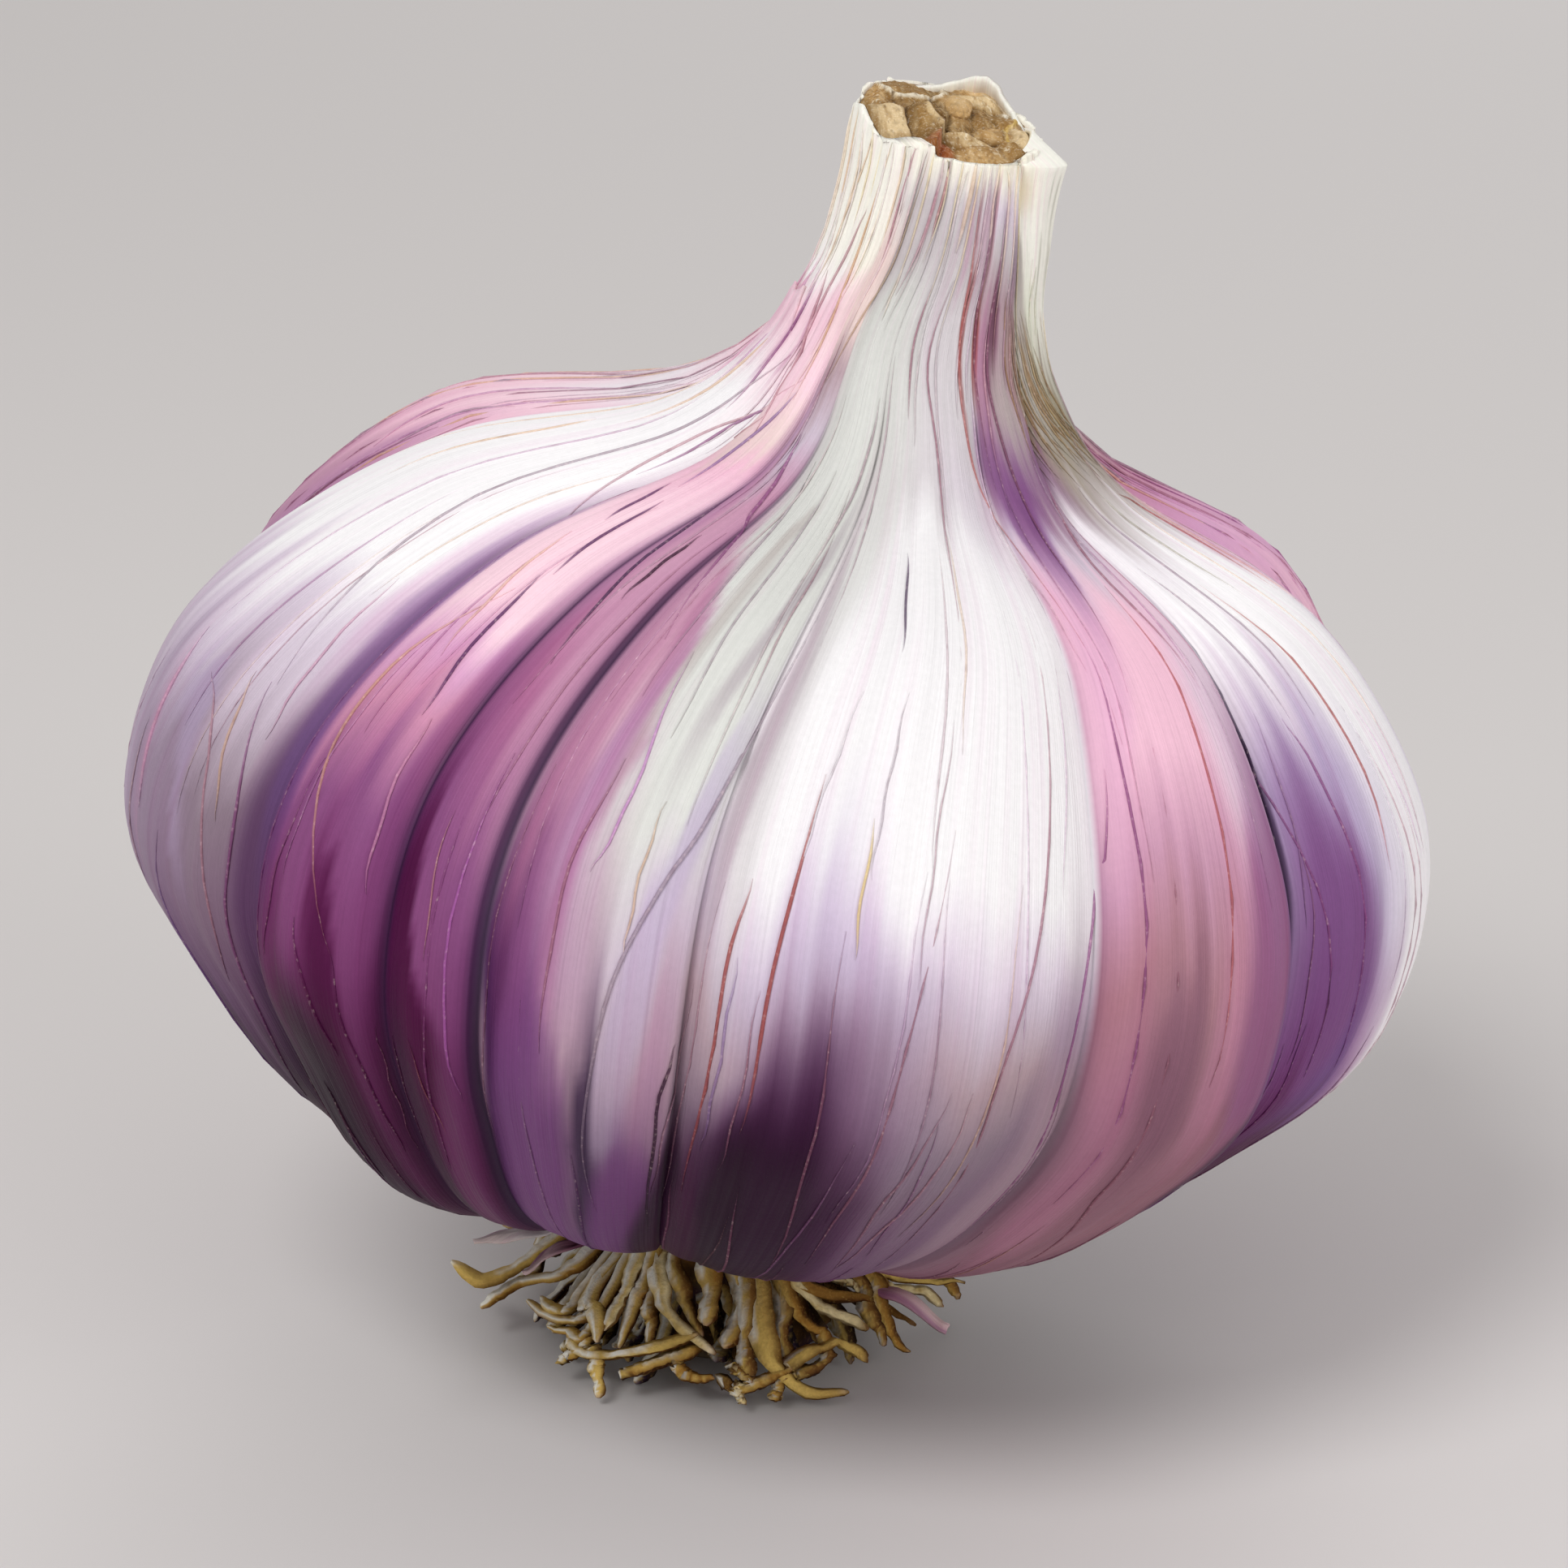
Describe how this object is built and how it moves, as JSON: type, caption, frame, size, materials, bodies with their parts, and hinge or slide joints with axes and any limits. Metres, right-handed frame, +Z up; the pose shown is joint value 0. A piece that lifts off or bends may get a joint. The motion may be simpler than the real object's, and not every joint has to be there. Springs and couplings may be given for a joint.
{
  "type": "garlic bulb",
  "caption": "Whole garlic bulb with swelling cloves under striped papery skin, a short cut neck and a tuft of trimmed roots that it stands on.",
  "frame": {"origin": "middle of the small flat spot at the root end that the bulb rests on", "axes": "+Z up, +X to the side that the bulb leans to, -Y to the bulb's front"},
  "size_m": [0.0601, 0.0606, 0.0602],
  "materials": {
    "striped_skin": "thin papery skin, white to violet in long streaks, satin sheen",
    "pale_sheath": "dry cream-white leaf sheath",
    "dry_sheath": "crumpled, dried brown sheath ends, matte",
    "cut_stalk": "fibrous cut end of the dry stalk, matte",
    "root_plate": "corky, dull",
    "dried_root": "dry, ridged, tan to brown",
    "torn_skin": "thin torn skin, matte"
  },
  "bodies": {
    "root": {"wrapped_bulb": "striped_skin", "back_sheath": "pale_sheath", "inner_sheath_left": "dry_sheath", "inner_sheath_front": "dry_sheath", "inner_sheath_core_left": "dry_sheath", "inner_sheath_core_right": "dry_sheath", "cut_stalk": "cut_stalk", "side_sheath": "pale_sheath", "basal_plate": "root_plate", "root_01": "dried_root", "root_02": "dried_root", "root_03": "dried_root", "root_04": "dried_root", "root_05": "dried_root", "root_06": "dried_root", "root_07": "dried_root", "root_08": "dried_root", "root_09": "dried_root", "root_10": "dried_root", "root_11": "dried_root", "root_12": "dried_root", "root_13": "dried_root", "root_14": "dried_root", "root_15": "dried_root", "root_16": "dried_root", "root_17": "dried_root", "root_18": "dried_root", "root_19": "dried_root", "root_20": "dried_root", "root_21": "dried_root", "root_22": "dried_root", "root_23": "dried_root", "root_24": "dried_root", "root_25": "dried_root", "root_26": "dried_root", "root_27": "dried_root", "root_28": "dried_root", "root_29": "dried_root", "root_30": "dried_root", "root_31": "dried_root", "root_32": "dried_root", "root_33": "dried_root", "root_34": "dried_root", "root_35": "dried_root", "root_36": "dried_root", "root_37": "dried_root", "root_38": "dried_root", "root_39": "dried_root", "skin_scrap_1": "torn_skin", "skin_scrap_2": "torn_skin", "skin_scrap_3": "torn_skin"}
  },
  "joints": []
}
